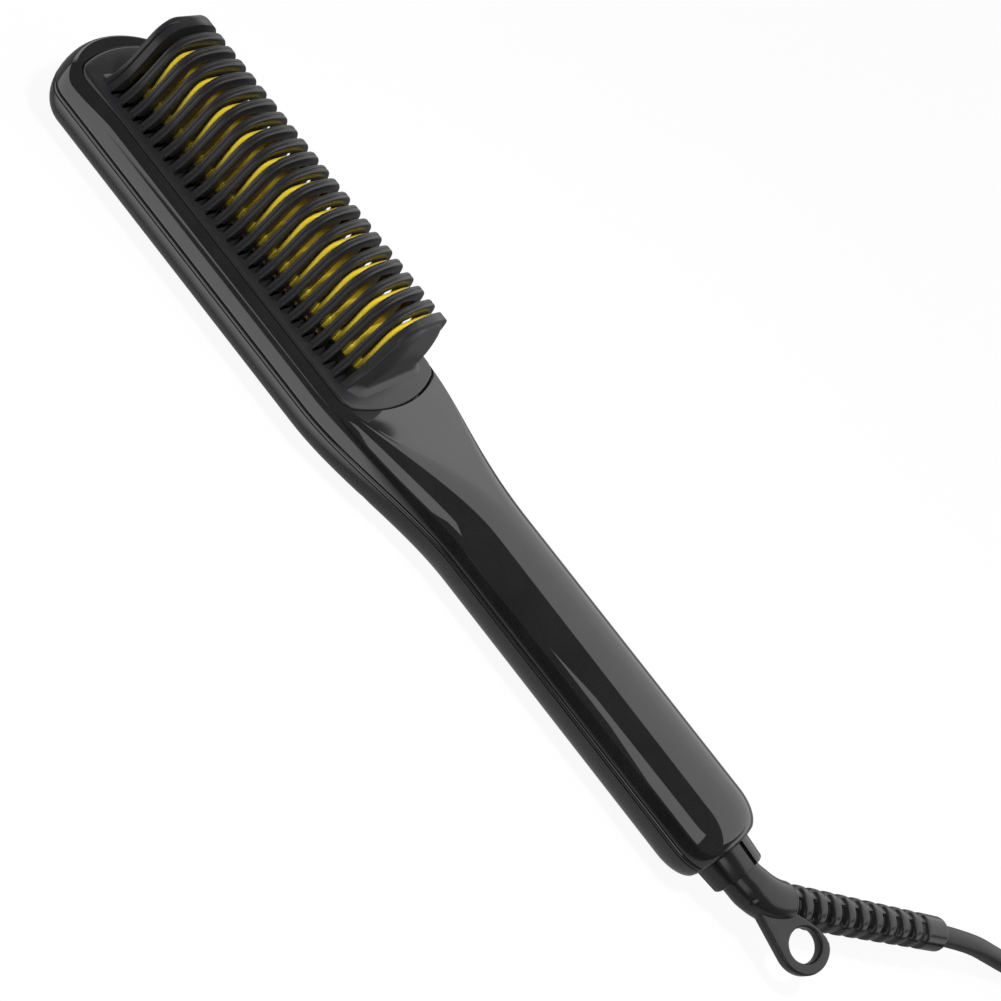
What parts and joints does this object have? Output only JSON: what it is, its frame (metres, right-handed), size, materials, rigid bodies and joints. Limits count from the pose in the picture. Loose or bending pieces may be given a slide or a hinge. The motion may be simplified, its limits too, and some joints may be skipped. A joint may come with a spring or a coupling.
{
  "type": "beard straightener",
  "caption": "Heated beard straightening comb: gold fins behind a ribbed black guard, slim gloss handle with panel buttons, and a swivel cord with hang loop, coiled lead and plug.",
  "frame": {"origin": "on the flat land of the back, on the centre line, halfway along the housing", "axes": "+X from the comb's tip to the cord end, +Z out of the comb's teeth, +Y to the left seen from the cord end; the part lies on its back"},
  "size_m": [0.4435, 0.1415, 0.0408],
  "materials": {
    "gloss_black": "high gloss moulded",
    "satin_black": "satin heat-resistant moulding",
    "gold_plate": "gold ceramic-coated casting",
    "ceramic": "off-white ceramic",
    "mica": "mica sheet",
    "steel": "zinc plated",
    "smoked_lens": "smoked window",
    "button_black": "satin",
    "board_green": "solder mask",
    "switch_black": "moulded",
    "wire_sleeve": "silicone sleeve",
    "bronze": "spring bronze",
    "soft_black": "soft matte moulding",
    "cord_black": "cord jacket",
    "nickel": "nickel plated"
  },
  "bodies": {
    "housing": {"front_shell": "gloss_black", "back_shell": "gloss_black", "comb_guard": "satin_black", "heater_plate": "gold_plate", "heater_element": "ceramic", "insulating_sheet": "mica", "heater_clamp": "steel", "heater_screws": "steel", "thermal_fuse": "steel", "temperature_sensor": "ceramic", "control_panel": "satin_black", "display_lens": "smoked_lens", "control_board": "board_green", "tact_switches": "switch_black", "display_module": "ceramic", "heater_wires": "wire_sleeve", "supply_wires": "wire_sleeve", "shell_screws": "steel", "swivel_collar": "satin_black", "contact_carrier": "ceramic", "contact_springs": "bronze"},
    "cord_swivel": {"swivel_boot": "soft_black", "swivel_spindle": "satin_black", "slip_rings": "bronze", "cord_lead": "cord_black", "cord_coil": "cord_black", "cord_tie": "cord_black", "plug_body": "soft_black", "plug_blades": "nickel"},
    "minus_button": {"minus_button": "button_black"},
    "plus_button": {"plus_button": "button_black"},
    "power_button": {"power_button": "button_black"}
  },
  "joints": [
    {"name": "cord_turn", "type": "hinge", "parent": "housing", "child": "cord_swivel", "pos_m": [0.125, 0, 0.0118], "axis": [1, 0, 0], "continuous": true},
    {"name": "minus_press", "type": "slide", "parent": "housing", "child": "minus_button", "axis": [0, 0, 1], "range_m": [0, 0.0007], "stiffness_N_per_m": 900, "springref_m": -0.001},
    {"name": "plus_press", "type": "slide", "parent": "housing", "child": "plus_button", "axis": [0, 0, 1], "range_m": [0, 0.0007], "stiffness_N_per_m": 900, "springref_m": -0.001},
    {"name": "power_press", "type": "slide", "parent": "housing", "child": "power_button", "axis": [0, 0, 1], "range_m": [0, 0.0007], "stiffness_N_per_m": 900, "springref_m": -0.001}
  ]
}
